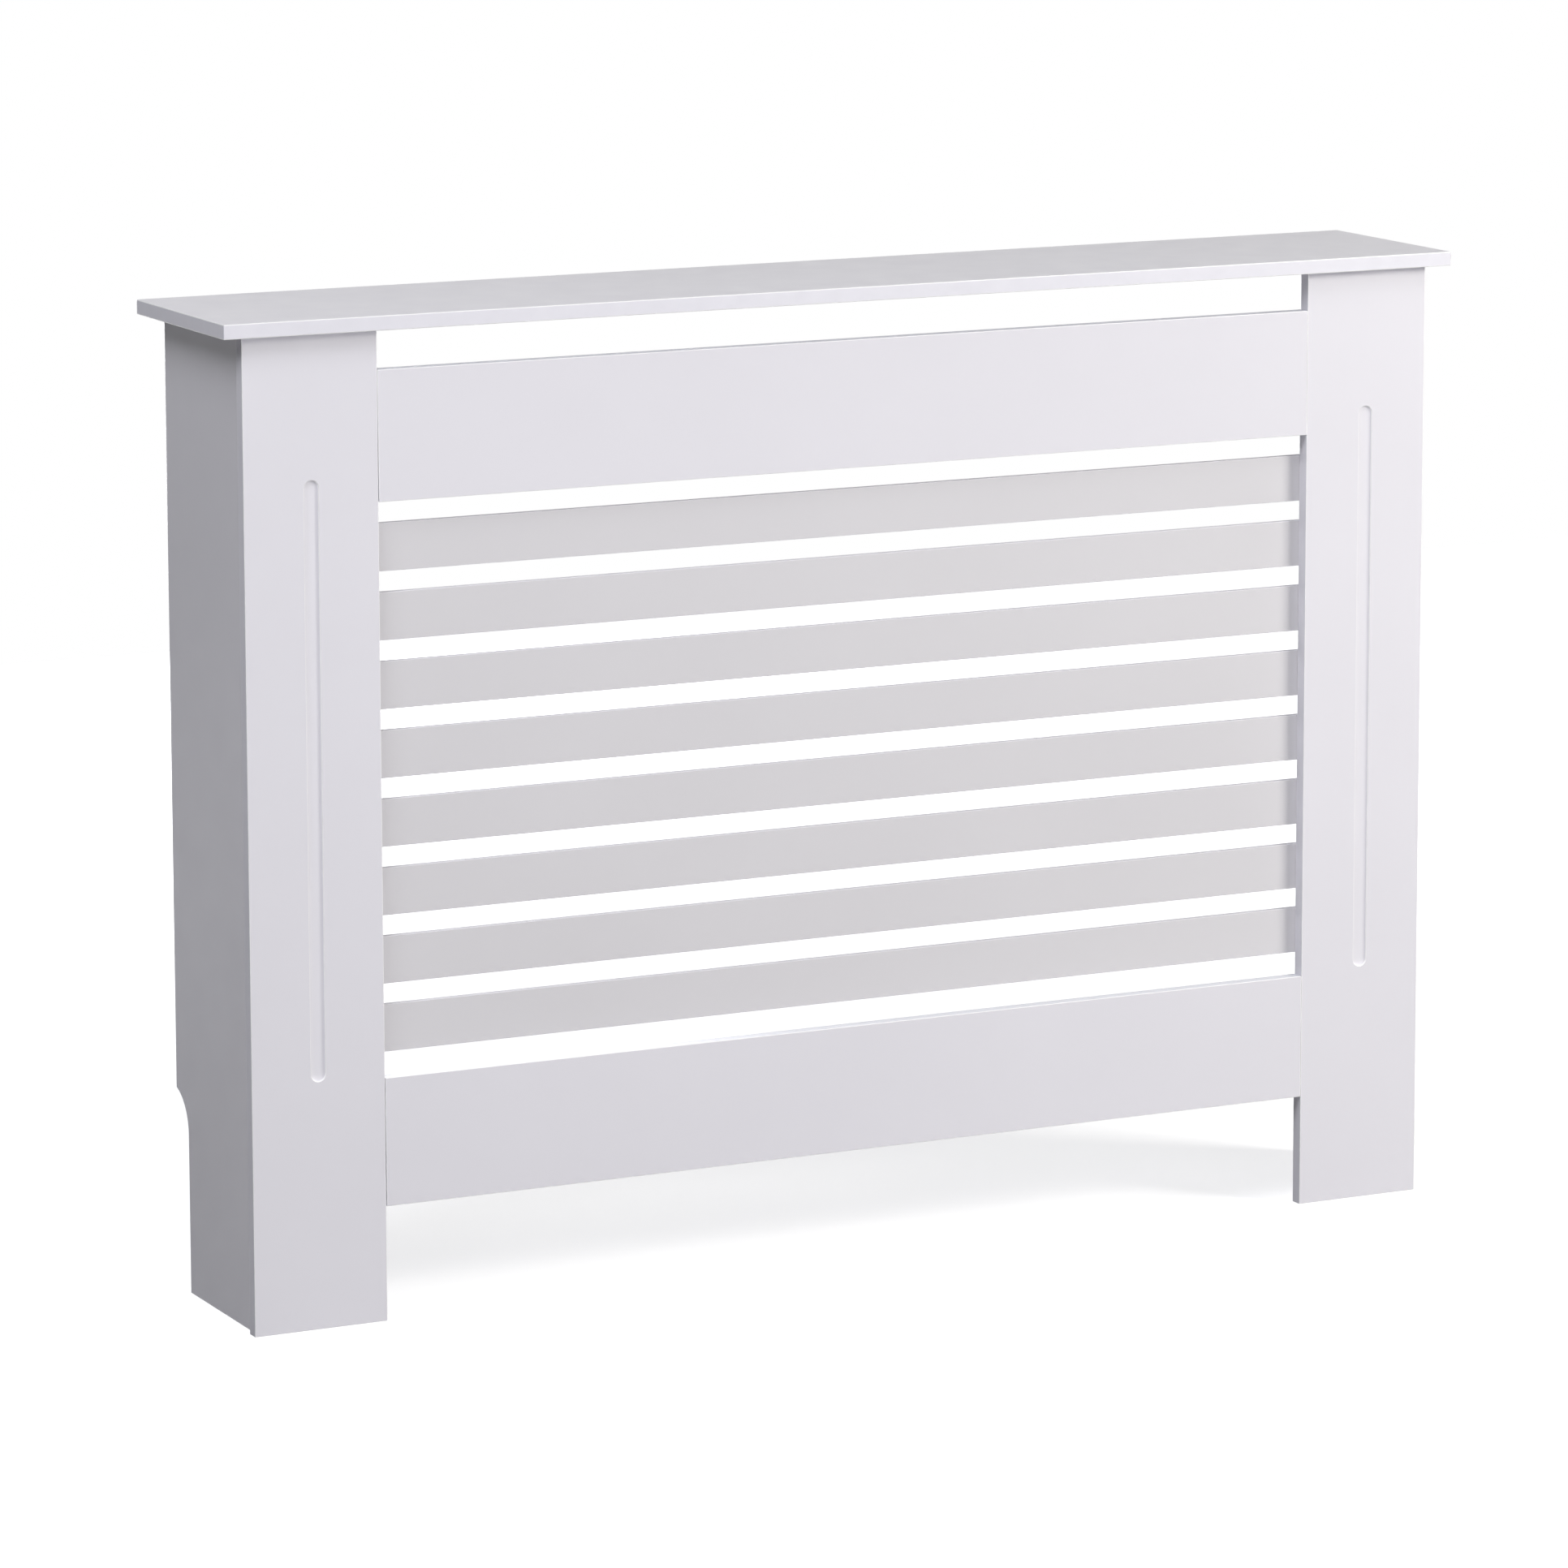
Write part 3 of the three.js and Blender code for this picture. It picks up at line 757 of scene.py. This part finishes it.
def cam_lock(name):
    """The disc in its bore: a softly edged face with a cross recess and a rim."""
    low, high = node_box(name)
    middle = (low + high) / 2
    axis = axis_of(name)
    outward = TO_REAR if axis == ALONG_Y else Vector((-math.copysign(1, middle.x), 0, 0))
    half = (high - low)[axis] / 2
    radius = radius_of(name)
    dished = radius - CAM_RIM
    profile = [(0, CAM_DISH), (dished, CAM_DISH), (dished + CAM_SOFT / 2, 0)]
    profile += [(radius - CAM_SOFT, 0), (radius, CAM_SOFT), (radius, 2 * half), (0, 2 * half)]
    face = middle + outward * half
    turned_fitting(name, profile, face, -outward, CAM_CROSS, zinc_alloy, "zinc_alloy")


def edges_on(shape, y, z):
    """The edges that run along X at one place."""
    return [
        edge for edge in shape.edges
        if all(abs(vert.co.y - y) < ON_LINE and abs(vert.co.z - z) < ON_LINE for vert in edge.verts)
    ]


def bracket_mesh(low, high):
    """A bent steel angle, rounded inside and outside by its bend."""
    inner_y = high.y - BRACKET_STEEL
    inner_z = high.z - BRACKET_STEEL
    corners = [
        (low.y, high.z), (high.y, high.z), (high.y, low.z),
        (inner_y, low.z), (inner_y, inner_z), (low.y, inner_z),
    ]
    shape = bmesh.new()
    thicken(shape, [shape.verts.new((low.x, y, z)) for y, z in corners], high.x - low.x)
    ease(shape, edges_on(shape, high.y, high.z), BRACKET_BEND, OUTER_BEND_STEPS)
    ease(shape, edges_on(shape, inner_y, inner_z), BRACKET_BEND - BRACKET_STEEL, INNER_BEND_STEPS)
    return shape


def hole_cutter(middle, direction):
    start = middle - direction * HOLE_CUT / 2
    return loose_object("hole", rod_mesh(BRACKET_HOLE, HOLE_CUT, start, direction))


def wall_bracket(side):
    """The angle between the shelf and the wall, with a hole in each leg."""
    name = "wall_bracket_" + side
    low, high = node_box(name)
    piece = loose_object(name + "_angle", bracket_mesh(low, high), (zinc_steel,))
    screw_low, screw_high = node_box("bracket_screw_" + side)
    middle_x = (low.x + high.x) / 2
    screw_y = (screw_low.y + screw_high.y) / 2
    wall_hole_z = high.z - (high.z - low.z) / 2 - BRACKET_STEEL
    carve(piece, [
        hole_cutter(Vector((middle_x, screw_y, high.z)), UP),
        hole_cutter(Vector((middle_x, high.y, wall_hole_z)), TO_REAR),
    ])
    smooth_by_angle(piece, BENT_CREASE)
    dress(piece, "zinc_steel", name)


def give(name, material):
    """Paints a CAD node that is carried over as it is."""
    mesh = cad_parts[name].data
    mesh.materials.clear()
    mesh.materials.append(material)


# ---------------------------------------------------------------- floor and backdrop
def shown_and_lit(nodes, lighting, shown):
    """One shader for the light that falls on the object, another for what is seen or mirrored."""
    path = nodes.node("ShaderNodeLightPath")
    camera, gloss, glass = (path.outputs[ray] for ray in SHOWING_RAYS)
    showing = nodes.reckon("MAXIMUM", nodes.reckon("MAXIMUM", camera, gloss), glass)
    mix = nodes.node("ShaderNodeMixShader")
    nodes.tree.links.new(showing, mix.inputs["Fac"])
    nodes.join(lighting, 0, mix, 1)
    nodes.join(shown, 0, mix, 2)
    return mix


def floor_material():
    """White to the eye except in the object's own shadow, and a quiet grey to the light that it bounces."""
    material = bpy.data.materials.new("pale_floor")
    nodes = Nodes(material)
    bounce = nodes.node("ShaderNodeBsdfDiffuse", Color=(FLOOR_BOUNCE, FLOOR_BOUNCE, FLOOR_BOUNCE, 1))
    seen = nodes.node("ShaderNodeBsdfDiffuse", Color=(FLOOR_SEEN, FLOOR_SEEN, FLOOR_SEEN, 1))
    near, far = FLOOR_FADE
    away = nodes.node("ShaderNodeVectorMath")
    away.operation = "LENGTH"
    fade = nodes.node(
        "ShaderNodeMapRange", From_Min=near, From_Max=far, To_Min=FLOOR_LIFT, To_Max=FLOOR_LIFT_FAR,
    )
    lift = nodes.node("ShaderNodeEmission")
    both = nodes.node("ShaderNodeAddShader")
    nodes.join(nodes.node("ShaderNodeTexCoord"), "Object", away, 0)
    nodes.join(away, "Value", fade, "Value")
    nodes.join(fade, "Result", lift, "Strength")
    nodes.join(seen, 0, both, 0)
    nodes.join(lift, 0, both, 1)
    surface = shown_and_lit(nodes, bounce, both)
    nodes.join(surface, 0, nodes.node("ShaderNodeOutputMaterial"), "Surface")
    return material


def pale_floor():
    shape = bmesh.new()
    bmesh.ops.create_grid(shape, x_segments=1, y_segments=1, size=FLOOR_SIZE / 2)
    floor = loose_object("floor", shape, (floor_material(),))


def sky_level(nodes):
    """How strong the sky's light is, by where it comes from."""
    split = nodes.node("ShaderNodeSeparateXYZ")
    nodes.join(nodes.node("ShaderNodeTexCoord"), "Generated", split, 0)
    before = nodes.reckon("MULTIPLY", split.outputs["Y"], -1, clamp=True)
    overhead = nodes.reckon("MAXIMUM", split.outputs["Z"], 0)
    front = nodes.reckon("MULTIPLY", nodes.reckon("POWER", before, SKY_GATHER), SKY_FROM_FRONT)
    above = nodes.reckon("MULTIPLY", nodes.reckon("POWER", overhead, SKY_GATHER), SKY_FROM_ABOVE)
    return nodes.reckon("ADD", nodes.reckon("ADD", front, above), SKY_BASE)


def studio_world():
    """Faint light all round, stronger from the front and from above, and a white background."""
    world = bpy.data.worlds.new("studio")
    bpy.context.scene.world = world
    nodes = Nodes(world)
    light = nodes.node("ShaderNodeBackground", Color=(*COOL_TINT, 1))
    nodes.tree.links.new(sky_level(nodes), light.inputs["Strength"])
    white = nodes.node("ShaderNodeBackground", Color=WHITE, Strength=1)
    surroundings = shown_and_lit(nodes, light, white)
    nodes.join(surroundings, 0, nodes.node("ShaderNodeOutputWorld"), "Surface")


def softbox(name, place, size, power, tint):
    """A rectangular lamp that faces the object's middle."""
    lamp = bpy.data.lights.new(name, "AREA")
    lamp.shape = "RECTANGLE"
    lamp.size, lamp.size_y = size
    lamp.energy = power
    lamp.color = tint
    holder = bpy.data.objects.new(name, lamp)
    holder.location = place
    back = Vector(place) - (cad_low + cad_high) / 2
    holder.rotation_euler = back.to_track_quat("Z", "Y").to_euler()
    bpy.context.scene.collection.objects.link(holder)


def camera_turn():
    """The camera's rotation, from its azimuth off +Y, its downward tilt and its roll."""
    azimuth = math.radians(CAMERA_AZIMUTH)
    elevation = math.radians(CAMERA_ELEVATION)
    roll = math.radians(CAMERA_ROLL)
    forward = Vector((
        math.cos(elevation) * math.sin(azimuth),
        math.cos(elevation) * math.cos(azimuth),
        -math.sin(elevation),
    ))
    level_right = Vector((math.cos(azimuth), -math.sin(azimuth), 0))
    level_up = level_right.cross(forward)
    right = level_right * math.cos(roll) + level_up * math.sin(roll)
    up = -level_right * math.sin(roll) + level_up * math.cos(roll)
    return Matrix((right, up, -forward)).transposed().to_4x4()


def photo_camera():
    camera = bpy.data.cameras.new("camera")
    camera.sensor_width = SENSOR
    camera.lens = CAMERA_LENS
    camera.shift_y = CAMERA_SHIFT_Y
    camera.clip_end = CAMERA_REACH
    holder = bpy.data.objects.new("camera", camera)
    holder.matrix_world = Matrix.Translation(CAMERA_AT) @ camera_turn()
    bpy.context.scene.collection.objects.link(holder)
    bpy.context.scene.camera = holder


# ---------------------------------------------------------------- the cover
board("shelf", SHELF_ARRIS, BOARD_PAINTS, "painted_board")
for side in ("left", "right"):
    side_panel("side_panel_" + side)
    stile("stile_" + side)
for name, seams in SEAMS.items():
    board(name, BOARD_ARRIS, RAIL_PAINTS, "painted_board", seams)
for name in SLATS:
    board(name, SLAT_ARRIS, SLAT_PAINTS, "painted_slat")
for name in SLAT_SCREWS:
    slat_screw(name)
for name in CAMS:
    cam_lock(name)
for name in BRACKET_SCREWS:
    bracket_screw(name)
for side in ("left", "right"):
    wall_bracket(side)
for name in BOLTS:
    give(name, zinc_steel)
for name in DOWELS:
    give(name, beech)

# ---------------------------------------------------------------- its surroundings
pale_floor()
studio_world()
softbox("key", KEY_AT, KEY_SIZE, KEY_POWER, KEY_TINT)
softbox("fill", FILL_AT, FILL_SIZE, FILL_POWER, COOL_TINT)
softbox("front", FRONT_AT, FRONT_SIZE, FRONT_POWER, COOL_TINT)
softbox("rear", REAR_AT, REAR_SIZE, REAR_POWER, COOL_TINT)
photo_camera()
bpy.context.scene.view_settings.view_transform = "Standard"
